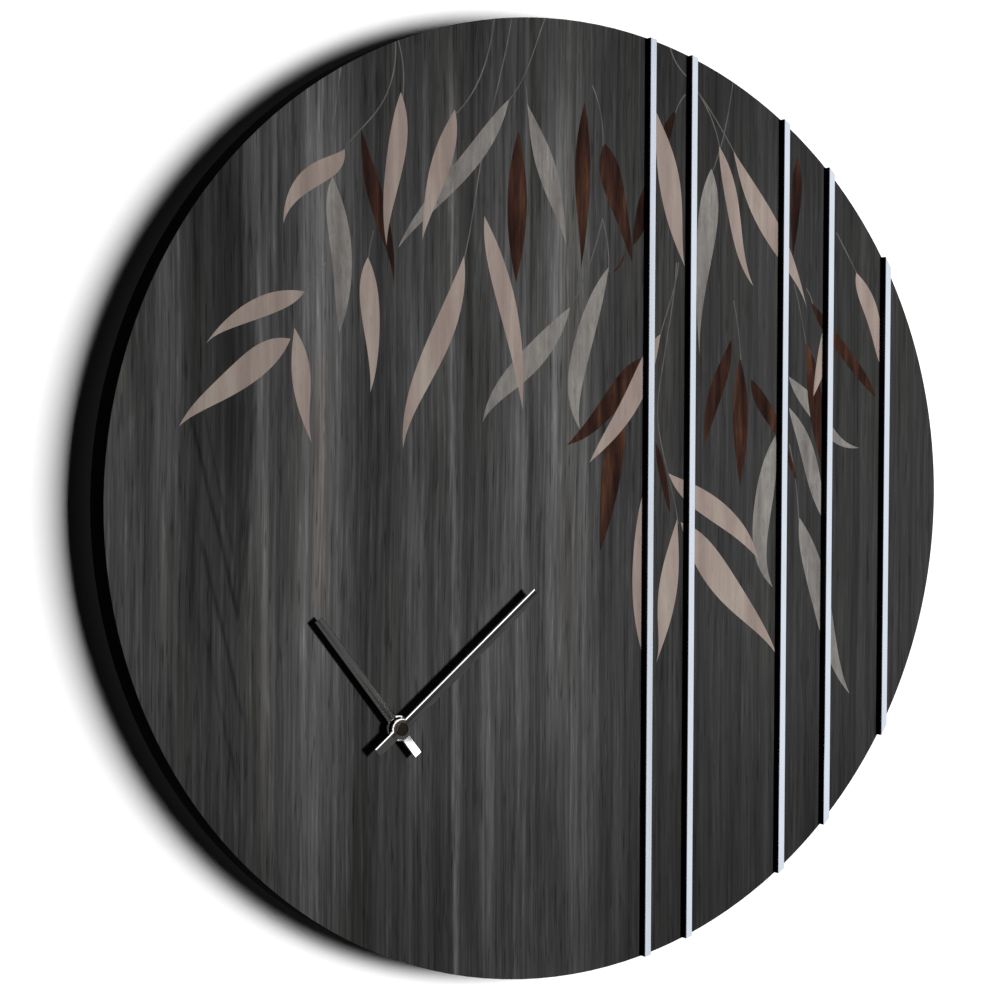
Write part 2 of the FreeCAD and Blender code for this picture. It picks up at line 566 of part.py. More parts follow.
# stator, coil core, bobbin, winding
st = prism([(PX + a, PZ + b) for a, b in ((3.2, 3.0), (24.4, 3.0), (24.4, 24.5), (20.6, 24.5), (20.6, 12.0),
                                         (7.0, 12.0), (7.0, 24.5), (3.2, 24.5))], D(10.9), D(11.7))
st = st.cut(mcyl(AX_R, 3.4, 10, 13))
for sv in (-1, 1):
    st = st.cut(mcyl((AX_R[0], AX_R[1] + sv * 5.1), 0.9, 10, 13))
save("stator_plate", st)
core_bar = mbox(3.2, 24.4, 11.7, 12.5, 20.3, 22.7)
save("coil_core", core_bar)
CV, CD = 21.5, 12.1
bob = fuse(mbox(7.6, 8.2, CD - 2.2, CD + 2.2, CV - 2.9, CV + 2.9), mbox(19.4, 20.0, CD - 2.2, CD + 2.2, CV - 2.9, CV + 2.9),
           mbox(7.6, 20.0, CD - 0.9, CD + 0.9, CV - 1.7, CV + 1.7)).cut(mbox(0, 30, 11.7, 12.5, 20.3, 22.7))
save("coil_bobbin", bob)
wind = mbox(8.2, 19.4, CD - 2.0, CD + 2.0, CV - 2.7, CV + 2.7)
wind = wind.makeFillet(0.8, [e for e in wind.Edges if e.BoundBox.XLength > 5])
wind = wind.cut(mbox(7.0, 20.5, CD - 0.9, CD + 0.9, CV - 1.7, CV + 1.7))
save("coil_winding", wind)

# ---- train ------------------------------------------------------------------
# rotor 8 -> 48 intermediate 8 -> 40 second 8 -> 60 third 8 -> 64 centre
d_or = direction(AX_R, AX_I)
rotor_mag = mcyl(AX_R, 2.9, 10.35, 12.35)
rotor_arb = mcyl(AX_R, 0.4, 6.5, 14.6).fuse(mcyl(AX_R, 0.9, 10.1, 12.6))
rotor_pin = gear(AX_R, pinion_points(8, 0.30, 48, d_or), 9.0, 10.35)
rotor_pinion = rotor_pin.fuse(mcyl(AX_R, 0.4, 6.5, 9.4)).fuse(mcyl(AX_R, 0.4, 12.3, 14.6)).fuse(mcyl(AX_R, 1.1, 12.35, 13.0)).removeSplitter()
rotor_core = mcyl(AX_R, 0.4, 10.35, 12.35)
rotor_pinion = rotor_pinion.fuse(rotor_core).removeSplitter()
save("rotor_magnet", rotor_mag.cut(rotor_core))
save("rotor_pinion", rotor_pinion)

inter = fuse(gear(AX_I, wheel_points(48, 0.30, direction(AX_I, AX_R)), 9.2, 9.9),
             gear(AX_I, pinion_points(8, 0.40, 40, direction(AX_I, AX_O)), 7.6, 9.2),
             mcyl(AX_I, 0.4, 6.5, 14.6), mcyl(AX_I, 1.0, 9.9, 10.4))
save("intermediate_wheel", inter)

second = fuse(gear(AX_O, wheel_points(40, 0.40, direction(AX_O, AX_I)), 7.8, 8.6),
              gear(AX_O, pinion_points(8, 0.36, 60, direction(AX_O, AX_T)), 6.3, 7.8),
              mcyl(AX_O, 0.4, -3.0, 14.6), mcyl(AX_O, 0.9, 8.6, 9.2))
save("second_wheel", second)

third = fuse(gear(AX_T, wheel_points(60, 0.36, direction(AX_T, AX_O)), 6.4, 7.2),
             gear(AX_T, pinion_points(8, 0.34, 64, direction(AX_T, AX_O)), 4.7, 6.4),
             mcyl(AX_T, 0.6, 0.6, 4.8), mcyl(AX_T, 0.4, 7.0, 14.6), mcyl(AX_T, 1.1, 7.2, 8.0))
save("third_wheel", third)

centre = gear(AX_O, wheel_points(64, 0.34, direction(AX_O, AX_T)), 5.0, 5.8).fuse(mcyl(AX_O, 2.4, 5.8, 6.1)).cut(mcyl(AX_O, 1.6, 4, 7))
for k in range(4):
    centre = centre.cut(mcyl(pol(6.6, 45 + 90 * k), 2.2, 4, 7))
save("centre_wheel", centre.removeSplitter())

# minute pipe: cannon pinion teeth inside, the hand on its outer end
pipe_front = Y_MIN - HAND_T - 0.4
cannon = fuse(gear(AX_O, pinion_points(12, 0.52, 36, direction(AX_O, AX_M)), 3.35, 4.65),
              cyl(PX, PZ, 1.6, pipe_front, D(6.1)))
cannon = cannon.cut(mcyl(AX_O, 0.4 + RUN, -3.2, 8))
save("minute_pipe", cannon.removeSplitter())

motion = fuse(gear(AX_M, wheel_points(36, 0.52, direction(AX_M, AX_O)), 3.6, 4.4),
              gear(AX_M, pinion_points(10, 0.4992, 40, direction(AX_M, AX_O)), 1.8, 3.6),
              mcyl(AX_M, 0.6, 0.6, 2.4), mcyl(AX_M, 0.9, 4.2, 19.0), mcyl(AX_M, 1.6, 4.4, 5.0))
save("motion_wheel", motion)

knob = mcyl(AX_M, 5.0, 16.4, 20.0)
teeth = 24
kp = []
for k in range(teeth * 2):
    r = 5.5 if k % 2 == 0 else 5.0
    a0 = math.pi / teeth * k
    for s in (-0.35, 0.35):
        a1 = a0 + s * math.pi / teeth
        kp.append((PX + AX_M[0] + r * math.cos(a1), PZ + AX_M[1] + r * math.sin(a1)))
knob = knob.fuse(prism(kp, D(16.6), D(19.8))).cut(mcyl(AX_M, 0.9, 10, 19.0)).removeSplitter()
save("set_knob", knob)

hourw = fuse(gear(AX_O, wheel_points(40, 0.4992, direction(AX_O, AX_M)), 2.0, 3.0),
             cyl(PX, PZ, 2.5, Y_HOUR - HAND_T - 0.1, D(3.2)))
hourw = hourw.cut(mcyl(AX_O, 1.6 + RUN, -20, 8)).removeSplitter()
save("hour_wheel", hourw)

# ---- dial fixing --------------------------------------------------------------
BUSH_END = -35.2
bush = mcyl(AX_O, 5.6, W, W + 0.5).fuse(cyl(PX, PZ, 4.0, BUSH_END, D(W))).cut(mcyl(AX_O, 2.5 + RUN, -20, 8)).removeSplitter()
save("threaded_bush", bush)
save("rubber_washer", cyl(PX, PZ, 12.0, WEB_Y, Y_MF).cut(cyl(PX, PZ, 4.0, -30, -20)))
save("dial_washer", cyl(PX, PZ, 7.5, Y_DIAL - 0.6, Y_DIAL).cut(cyl(PX, PZ, 4.0, -40, -20)))
nut = prism([(PX + 6.9 * math.cos(math.radians(30 + 60 * k)), PZ + 6.9 * math.sin(math.radians(30 + 60 * k))) for k in range(6)],
            Y_DIAL - 2.8, Y_DIAL - 0.6)
nut = nut.common(Part.makeCone(6.3, 8.5, 2.2, V(PX, Y_DIAL - 2.8, PZ), V(0, 1, 0))).cut(cyl(PX, PZ, 4.0, -40, -20))
save("hex_nut", nut)

# ---- battery and contacts -------------------------------------------------------
bz = PZ + BAT_V
by = D(BAT_D)
bx0 = PX - BAT_L / 2 - 0.6
bat = Part.makeCylinder(BAT_R, BAT_L, V(bx0, by, bz), V(1, 0, 0))
bat = bat.makeFillet(0.6, [e for e in bat.Edges if len(e.Vertexes) == 1 or e.Closed])
bat = bat.fuse(Part.makeCylinder(2.7, 1.3, V(bx0 + BAT_L - 0.01, by, bz), V(1, 0, 0))).removeSplitter()
save("battery", bat)
x_end = bx0 + BAT_L + 1.3
pos = mbox(26.3, 26.8, 3.0, 14.0, -26.0, -15.0).fuse(
    Part.makeCone(2.4, 1.6, PX + 26.35 - (x_end + 0.1), V(PX + 26.35, by, bz), V(-1, 0, 0))).removeSplitter()
save("positive_contact", pos)
# negative contact: plate with a conical coil made of three rings on it
neg_plate = mbox(-26.8, -26.3, 3.0, 14.0, -26.0, -15.0)
gap = bx0 - (PX - 26.3) - 0.1
neg = neg_plate
for k, rr in enumerate((4.6, 3.7, 2.8)):
    xk = PX - 26.35 + gap * k / 3.0
    ring = Part.makeCylinder(rr, gap / 3.0 + 0.06, V(xk, by, bz), V(1, 0, 0)).cut(
        Part.makeCylinder(rr - 1.0, gap, V(xk - 0.1, by, bz), V(1, 0, 0)))
    neg = neg.fuse(ring)
save("negative_contact", neg.removeSplitter())


# ---------------------------------------------------------------------------
# Hands
# ---------------------------------------------------------------------------
def hand(length, tail, ang, y_back, bore, eye):
    hw, tw = HAND_W / 2, HAND_TIP_W / 2
    pts = [(-hw, -tail), (hw, -tail), (hw, 0), (tw, length), (-tw, length), (-hw, 0)]
    c, s = math.cos(math.radians(ang)), math.sin(math.radians(ang))
    pts = [(PX + a * c + b * s, PZ - a * s + b * c) for a, b in pts]
    h = prism(pts, y_back, y_back - HAND_T).fuse(cyl(PX, PZ, eye, y_back - HAND_T, y_back))
    h = h.removeSplitter().cut(cyl(PX, PZ, bore, -60, -20))
    ed = [e for e in h.Edges if abs(e.BoundBox.YMin - (y_back - HAND_T)) < 1e-6 and abs(e.BoundBox.YMax - (y_back - HAND_T)) < 1e-6
          and abs(e.BoundBox.Center.x - PX) + abs(e.BoundBox.Center.z - PZ) + e.BoundBox.DiagonalLength > bore * 2.9]
    try:
        h2 = h.makeChamfer(HAND_BEVEL, ed)
        if h2.isValid():
            h = h2
    except Exception as err:
        print("no chamfer", err)
    return h


save("hour_hand", hand(HOUR_LEN, HOUR_TAIL, HOUR_ANG, Y_HOUR, 2.5, HOUR_EYE_R))
save("minute_hand", hand(MIN_LEN, MIN_TAIL, MIN_ANG, Y_MIN, 1.6, MIN_EYE_R))
y_cap0 = Y_MIN - HAND_T
cap = cyl(PX, PZ, 4.0, y_cap0 - 1.0, y_cap0)
cap = cap.makeChamfer(0.3, [e for e in cap.Edges if abs(e.BoundBox.YMax - (y_cap0 - 1.0)) < 1e-6])
cap = cap.cut(cyl(PX, PZ, 3.2, y_cap0 - 3, y_cap0 - 0.75))
cap = cap.cut(cyl(PX, PZ, 1.6, pipe_front, y_cap0 + 1))
save("hand_nut", cap)
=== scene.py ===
import math
import bpy
from mathutils import Matrix, Vector


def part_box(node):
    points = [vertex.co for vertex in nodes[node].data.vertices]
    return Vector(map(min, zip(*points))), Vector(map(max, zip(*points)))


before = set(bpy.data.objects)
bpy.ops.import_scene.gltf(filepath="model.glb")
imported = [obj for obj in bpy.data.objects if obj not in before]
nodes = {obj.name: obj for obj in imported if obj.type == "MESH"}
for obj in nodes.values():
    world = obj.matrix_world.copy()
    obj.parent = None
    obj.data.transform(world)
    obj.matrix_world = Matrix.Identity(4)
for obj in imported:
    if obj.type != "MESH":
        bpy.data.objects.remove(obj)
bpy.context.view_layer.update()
scene = bpy.context.scene

# ---------------------------------------------------------------------------
# camera: level with the clock, from its left
# ---------------------------------------------------------------------------
cam_data = bpy.data.cameras.new("camera")
cam_data.lens = 90.0
cam_data.sensor_width = 36.0
cam_data.sensor_fit = "HORIZONTAL"
cam_data.clip_start = 0.05
cam_data.shift_x = -0.0005
cam_data.shift_y = 0.0005
cam_data.clip_end = 60.0
cam = bpy.data.objects.new("camera", cam_data)
scene.collection.objects.link(cam)
RIGHT = Vector((0.87016023, -0.49274638, 0.0047101))
UP = Vector((0.01120935, 0.02934919, 0.99950637))
BACK = Vector((-0.49264138, -0.86967789, 0.03106186))
LOC = Vector((-0.80243, -1.37548, 0.04858))
cam.matrix_world = Matrix(((RIGHT.x, UP.x, BACK.x, LOC.x),
                           (RIGHT.y, UP.y, BACK.y, LOC.y),
                           (RIGHT.z, UP.z, BACK.z, LOC.z),
                           (0, 0, 0, 1)))
scene.camera = cam


# ---------------------------------------------------------------------------
# node helpers
# ---------------------------------------------------------------------------
class Tree:
    def __init__(self, name):
        self.m = bpy.data.materials.new(name)
        self.m.use_nodes = True
        self.t = self.m.node_tree
        self.t.nodes.clear()
        self.out = self.t.nodes.new("ShaderNodeOutputMaterial")
        self.b = self.t.nodes.new("ShaderNodeBsdfPrincipled")
        self.t.links.new(self.b.outputs["BSDF"], self.out.inputs["Surface"])
        self.co = self.t.nodes.new("ShaderNodeTexCoord").outputs["Object"]

    def link(self, a, b):
        self.t.links.new(a, b)

    def put(self, sock, v):
        if hasattr(v, "is_output"):
            self.link(v, sock)
        else:
            sock.default_value = v

    def mapping(self, scale=(1, 1, 1), loc=(0, 0, 0), rot=(0, 0, 0), vec=None):
        n = self.t.nodes.new("ShaderNodeMapping")
        n.inputs["Scale"].default_value = scale
        n.inputs["Location"].default_value = loc
        n.inputs["Rotation"].default_value = rot
        self.link(vec or self.co, n.inputs["Vector"])
        return n.outputs["Vector"]

    def noise(self, scale=(1, 1, 1), detail=3.0, rough=0.5, loc=(0, 0, 0), vec=None, dist=0.0, rot=(0, 0, 0)):
        n = self.t.nodes.new("ShaderNodeTexNoise")
        n.inputs["Scale"].default_value = 1.0
        n.inputs["Detail"].default_value = detail
        n.inputs["Roughness"].default_value = rough
        n.inputs["Distortion"].default_value = dist
        self.link(self.mapping(scale, loc, rot, vec), n.inputs["Vector"])
        return n.outputs["Fac"]

    def voronoi(self, scale=(1, 1, 1), loc=(0, 0, 0), out="Distance", feature="F1", vec=None):
        n = self.t.nodes.new("ShaderNodeTexVoronoi")
        n.feature = feature
        n.inputs["Scale"].default_value = 1.0
        self.link(self.mapping(scale, loc, vec=vec), n.inputs["Vector"])
        return n.outputs[out]

    def math(self, op, a, b=None, c=None, clamp=False):
        n = self.t.nodes.new("ShaderNodeMath")
        n.operation = op
        n.use_clamp = clamp
        self.put(n.inputs[0], a)
        if b is not None:
            self.put(n.inputs[1], b)
        if c is not None:
            self.put(n.inputs[2], c)
        return n.outputs[0]

    def remap(self, v, a0, a1, b0, b1, smooth=False, clamp=True):
        n = self.t.nodes.new("ShaderNodeMapRange")
        n.clamp = clamp
        if smooth:
            n.interpolation_type = "SMOOTHSTEP"
        self.put(n.inputs["Value"], v)
        for k, x in zip(("From Min", "From Max", "To Min", "To Max"), (a0, a1, b0, b1)):
            self.put(n.inputs[k], x)
        return n.outputs["Result"]

    def ramp(self, fac, stops, interp="LINEAR"):
        n = self.t.nodes.new("ShaderNodeValToRGB")
        n.color_ramp.interpolation = interp
        e = n.color_ramp.elements
        while len(e) > 1:
            e.remove(e[-1])
        e[0].position = stops[0][0]
        e[0].color = tuple(stops[0][1]) + (1,)
        for p, c in stops[1:]:
            x = e.new(p)
            x.color = tuple(c) + (1,)
        self.put(n.inputs["Fac"], fac)
        return n.outputs["Color"]

    def mix(self, fac, a, b, mode="MIX"):
        n = self.t.nodes.new("ShaderNodeMix")
        n.data_type = "RGBA"
        n.blend_type = mode
        n.clamp_result = False
        self.put(n.inputs["Factor"], fac)
        self.put(n.inputs[6], a if hasattr(a, "is_output") or len(a) == 4 else tuple(a) + (1,))
        self.put(n.inputs[7], b if hasattr(b, "is_output") or len(b) == 4 else tuple(b) + (1,))
        return n.outputs[2]

    def scale_color(self, col, v):
        """colour times a value"""
        c = self.t.nodes.new("ShaderNodeCombineColor")
        for i in range(3):
            self.put(c.inputs[i], v)
        return self.mix(1.0, col, c.outputs[0], "MULTIPLY")

    def xyz(self, vec=None):
        n = self.t.nodes.new("ShaderNodeSeparateXYZ")
        self.link(vec or self.co, n.inputs[0])
        return n.outputs[0], n.outputs[1], n.outputs[2]

    def bump(self, height, strength=0.3, dist=0.0005, normal=None):
        n = self.t.nodes.new("ShaderNodeBump")
        n.inputs["Strength"].default_value = strength
        n.inputs["Distance"].default_value = dist
        self.put(n.inputs["Height"], height)
        if normal is not None:
            self.link(normal, n.inputs["Normal"])
        return n.outputs["Normal"]

    def done(self, color, rough, metallic=0.0, spec=0.5, normal=None, coat=0.0, coat_rough=0.1, ior=1.45, **kw):
        b = self.b
        self.put(b.inputs["Base Color"], color if hasattr(color, "is_output") else tuple(color) + (1,))
        self.put(b.inputs["Roughness"], rough)
        b.inputs["Metallic"].default_value = metallic
        b.inputs["Specular IOR Level"].default_value = spec
        b.inputs["IOR"].default_value = ior
        b.inputs["Coat Weight"].default_value = coat
        b.inputs["Coat Roughness"].default_value = coat_rough
        for k, v in kw.items():
            b.inputs[k.replace("_", " ")].default_value = v
        if normal is not None:
            self.link(normal, b.inputs["Normal"])
        return self.m


def lin(r, g, b):
    """screen colour 0-255 to linear"""
    out = []
    for v in (r, g, b):
        v = v / 255.0
        out.append(v / 12.92 if v <= 0.04045 else ((v + 0.055) / 1.055) ** 2.4)
    return tuple(out)


# ---------------------------------------------------------------------------
# charcoal stained dial wood: upright grain, one board with a plume figure at
# the left and straighter, darker grain to the right
# ---------------------------------------------------------------------------
def dial_wood():
    T = Tree("dial_wood")
    x, y, z = T.xyz()
    # slow sideways wander of the grain, and a small quick one for the lines
    wander = T.noise((2.2, 1, 4.0), 2, 0.5)
    quick = T.noise((14, 1, 22.0), 3, 0.6, loc=(7, 0, 1))
    xw = T.math("ADD", x, T.math("MULTIPLY", T.math("SUBTRACT", wander, 0.5), 0.008))
    xl = T.math("ADD", x, T.math("MULTIPLY", T.math("SUBTRACT", quick, 0.5), 0.0045))
    comb = T.t.nodes.new("ShaderNodeCombineXYZ")
    T.link(xw, comb.inputs[0])
    T.link(y, comb.inputs[1])
    T.link(z, comb.inputs[2])
    v = comb.outputs[0]
    # broad tone of the sheet from left to right
    gx = T.t.nodes.new("ShaderNodeValToRGB")
    gx.color_ramp.interpolation = "EASE"
    pts = [(-0.300, 64), (-0.262, 60), (-0.240, 52), (-0.220, 52), (-0.203, 64), (-0.186, 70), (-0.166, 80), (-0.150, 70), (-0.135, 56), (-0.112, 60),
           (-0.088, 63), (-0.062, 60), (-0.035, 66), (-0.005, 71), (0.020, 70), (0.040, 59), (0.075, 54), (0.13, 56), (0.19, 53), (0.23, 54), (0.300, 51)]
    e = gx.color_ramp.elements
    while len(e) > 1:
        e.remove(e[-1])
    for i, (px, g) in enumerate(pts):
        k = lin(g, g, g)[0]
        if i == 0:
            e[0].position = (px + 0.3) / 0.6
            e[0].color = (k, k, k, 1)
        else:
            q = e.new((px + 0.3) / 0.6)
            q.color = (k, k, k, 1)
    T.link(T.remap(xl, -0.3, 0.3, 0.0, 1.0), gx.inputs["Fac"])
    base = gx.outputs["Color"]
    base = T.scale_color(base, T.remap(z, 0.15, 0.30, 1.0, 0.70, True))
    base = T.scale_color(base, T.remap(z, -0.08, -0.27, 1.0, 0.66, True))
    # calmer grain to the right of the bars
    calm = T.remap(xw, 0.045, 0.11, 1.0, 0.74, True)

    def swing(n, half, amp):
        """signed variation round 1"""
        r = T.remap(n, 0.5 - half, 0.5 + half, -1.0, 1.0)
        return T.math("ADD", T.math("MULTIPLY", T.math("MULTIPLY", r, amp), calm), 1.0)

    broad = T.noise((34, 0.2, 1.1), 2, 0.5, vec=v, loc=(3.1, 0, 0.4))
    band = T.noise((150, 0.2, 2.6), 2, 0.55, vec=v, loc=(1.7, 0, 2.2))
    streak = T.noise((360, 0.2, 7.0), 2, 0.6, vec=v, loc=(0.3, 0, 7.0))
    fibre = T.noise((820, 1, 17.0), 3, 0.7, vec=v, loc=(2.3, 0, 5.0))
    hair = T.noise((2100, 1, 40.0), 3, 0.75, vec=v)
    dash = T.noise((560, 1, 30.0), 2, 0.5, vec=v, loc=(9, 0, 3))
    col = T.scale_color(base, swing(broad, 0.22, 0.16))
    col = T.scale_color(col, swing(band, 0.17, 0.27))
    col = T.scale_color(col, swing(streak, 0.17, 0.28))
    col = T.scale_color(col, swing(fibre, 0.18, 0.24))
    col = T.scale_color(col, swing(hair, 0.2, 0.14))
    dark_dash = T.math("MULTIPLY", T.remap(dash, 0.60, 0.68, 0.0, 0.42), calm)
    col = T.scale_color(col, T.math("SUBTRACT", 1.0, dark_dash))
    light_dash = T.math("MULTIPLY", T.remap(dash, 0.40, 0.33, 0.0, 0.30), calm)
    col = T.scale_color(col, T.math("ADD", 1.0, light_dash))

    # single streaks of the sheet: where it crosses the middle, lean, width,
    # strength, lower and upper end (metres)
    total = None
    for c, lean, wid, amp, lo, hi in (
            (-0.2010, -0.020, 0.0030, 0.42, -0.25, 0.26), (-0.1900, 0.0, 0.0040, -0.26, -0.25, 0.20), (-0.1640, 0.0, 0.0045, 0.24, -0.10, 0.26),
            (-0.1520, 0.0, 0.0032, 0.26, -0.12, 0.30), (-0.1330, 0.0, 0.0090, -0.22, -0.30, 0.10), (-0.1025, -0.006, 0.0038, 0.50, -0.18, 0.12),
            (-0.0835, 0.0, 0.0040, -0.18, -0.30, 0.06), (-0.0745, -0.010, 0.0026, 0.92, -0.30, 0.27), (-0.0650, 0.0, 0.0060, -0.26, -0.10, 0.30),
            (-0.0510, 0.0, 0.0060, -0.28, -0.05, 0.12), (-0.0500, 0.0, 0.0060, 0.34, -0.28, -0.07), (-0.0270, 0.0, 0.0048, 0.42, -0.30, 0.05),
            (-0.0200, 0.0, 0.0016, -0.50, -0.04, 0.30), (-0.0140, 0.0, 0.0052, -0.30, -0.22, 0.06), (-0.0020, 0.004, 0.0040, 0.42, -0.14, 0.26),
            (0.0130, 0.0, 0.0040, 0.22, -0.25, 0.05), (0.0200, -0.008, 0.0032, 0.30, -0.25, 0.20), (0.0290, 0.0, 0.0016, 0.34, -0.18, 0.06),
            (0.0330, 0.0, 0.0040, -0.24, -0.10, 0.12), (-0.2440, 0.0, 0.0035, -0.36, -0.08, 0.24), (-0.2340, 0.020, 0.0022, 0.22, 0.02, 0.20),
            (-0.2640, 0.0, 0.0060, 0.16, -0.10, 0.16), (-0.1190, 0.0, 0.0014, -0.30, -0.10, 0.10),
            # plume figure
            (-0.23375, -0.250, 0.0013, -0.62, -0.066, 0.052), (-0.20930, 0.130, 0.0014, -0.52, -0.064, -0.004),
            (-0.24535, -0.250, 0.0013, -0.62, -0.124, -0.022), (-0.2268, -0.215, 0.0012, -0.36, -0.030, 0.070),
            (-0.2560, -0.235, 0.0014, -0.40, -0.170, -0.075), (-0.2130, 0.110, 0.0012, -0.40, -0.020, 0.060)):
        centre = T.math("MULTIPLY_ADD", z, lean, c)
        d = T.math("DIVIDE", T.math("SUBTRACT", xl, centre), wid)
        g = T.math("EXPONENT", T.math("MULTIPLY", T.math("MULTIPLY", d, d), -1.0))
        soft = 0.006 if abs(lean) > 0.1 else 0.030
        if lo > -0.29:
            g = T.math("MULTIPLY", g, T.remap(z, lo - soft, lo + soft, 0.0, 1.0, True))
        if hi < 0.29:
            g = T.math("MULTIPLY", g, T.remap(z, hi - soft, hi + soft, 1.0, 0.0, True))
        total = T.math("MULTIPLY", g, amp) if total is None else T.math("MULTIPLY_ADD", g, amp, total)
    total = T.math("MULTIPLY", total, T.remap(T.noise((260, 1, 16), 3, 0.6, loc=(1, 0, 8)), 0.3, 0.6, 0.60, 1.10))
    # dark heart above the figure
    bx = T.math("DIVIDE", T.math("SUBTRACT", xw, -0.2255), 0.0125)
    heart = T.math("EXPONENT", T.math("MULTIPLY", T.math("MULTIPLY", bx, bx), -1.0))
    heart = T.math("MULTIPLY", heart, T.math("MULTIPLY", T.remap(z, -0.01, 0.05, 0.0, 1.0, True), T.remap(z, 0.23, 0.16, 0.0, 1.0, True)))
    total = T.math("MULTIPLY_ADD", heart, -0.52, total)
    col = T.scale_color(col, T.math("EXPONENT", total))
    # faint warm streak, and a trace of warmth or green in places
    wx = T.math("DIVIDE", T.math("SUBTRACT", xl, -0.1645), 0.0050)
    warm = T.math("MULTIPLY", T.math("EXPONENT", T.math("MULTIPLY", T.math("MULTIPLY", wx, wx), -1.0)), T.remap(z, -0.11, -0.03, 0.0, 1.0, True))
    warm = T.math("MULTIPLY", warm, T.remap(z, 0.12, 0.05, 0.0, 1.0, True))
    col = T.mix(warm, col, T.mix(1.0, col, (1.10, 1.0, 0.93), "MULTIPLY"))
    tint = T.noise((46, 1, 3.0), 2, 0.5, loc=(5, 0, 5))
    col = T.mix(T.remap(tint, 0.52, 0.66, 0.0, 0.6), col, T.mix(1.0, col, (1.03, 1.0, 0.93), "MULTIPLY"))
    col = T.mix(T.remap(tint, 0.46, 0.34, 0.0, 0.6), col, T.mix(1.0, col, (1.0, 0.99, 1.04), "MULTIPLY"))
    # surface
    rough = T.remap(band, 0.35, 0.65, 0.52, 0.62)
    hgt = T.math("ADD", T.math("MULTIPLY", fibre, 0.6), T.math("MULTIPLY", hair, 0.5))
    hgt = T.math("SUBTRACT", hgt, dark_dash)
    nrm = T.bump(hgt, 0.35, 0.00012)
    return T.done(col, rough, spec=0.22, normal=nrm)


def leaf_wood(name, stops, streak=0.10, mottle=0.0, dark=None, spec=0.22, pores=0.0, broad=(95, 1, 4.0), light=0.0):
    """thin veneer, grain upright like the board it is set in"""
    T = Tree(name)
    a = T.noise(broad, 3, 0.55, loc=(2, 0, 1))
    b = T.noise((620, 1, 11.0), 4, 0.7)
    c = T.noise((2200, 1, 60.0), 3, 0.7)
    col = T.ramp(a, stops)
    col = T.scale_color(col, T.remap(b, 0.25, 0.75, 1.0 - streak, 1.0 + streak))
    col = T.scale_color(col, T.remap(c, 0.25, 0.75, 1.0 - streak * 0.5, 1.0 + streak * 0.5))
    if mottle:
        m = T.noise((150, 1, 70), 5, 0.7, dist=0.6)
        col = T.scale_color(col, T.remap(m, 0.3, 0.7, 1.0 - mottle, 1.0 + mottle))
    if pores:
        q = T.noise((760, 1, 95), 2, 0.5, loc=(6, 0, 2))
        col = T.scale_color(col, T.remap(q, 0.62, 0.72, 1.0, 1.0 - pores, True))
    if light:
        q = T.noise((520, 1, 26), 3, 0.6, loc=(1, 0, 9))
        col = T.scale_color(col, T.remap(q, 0.56, 0.70, 1.0, 1.0 + light, True))
    if dark:
        x, y, z = T.xyz()
        col = T.scale_color(col, T.remap(x, -0.26, 0.16, dark, 1.0))
    rough = T.remap(b, 0.3, 0.7, 0.46, 0.58)
    nrm = T.bump(T.math("ADD", b, c), 0.22, 0.00008)
    return T.done(col, rough, spec=spec, normal=nrm)


def bar_metal():
    """polished front; flanks painted near black as painted shade for the shaded side walls"""
    T = Tree("polished_bar")
    a = T.noise((900, 900, 3), 4, 0.7)
    s = T.noise((25, 25, 25), 3, 0.5)
    n = T.t.nodes.new("ShaderNodeSeparateXYZ")
    T.link(T.t.nodes.new("ShaderNodeTexCoord").outputs["Normal"], n.inputs[0])
    # painted shade: faces turned sideways get a near-black colour in place of the shade the flanks sit in
    flank = T.remap(T.math("ABSOLUTE", n.outputs[0]), 0.80, 0.95, 0.0, 1.0, True)
    lit = T.ramp(s, [(0.3, (0.835, 0.86, 0.895)), (0.7, (0.875, 0.90, 0.935))])
    black = T.ramp(a, [(0.3, (0.0045, 0.005, 0.008)), (0.7, (0.010, 0.011, 0.016))])
    col = T.mix(flank, lit, black)
    rough = T.math("ADD", T.remap(a, 0.3, 0.7, 0.07, 0.13), T.math("MULTIPLY", flank, T.remap(s, 0.3, 0.7, 0.28, 0.36)))
    return T.done(col, rough, metallic=1.0, spec=0.5, normal=T.bump(a, 0.02, 0.00002))


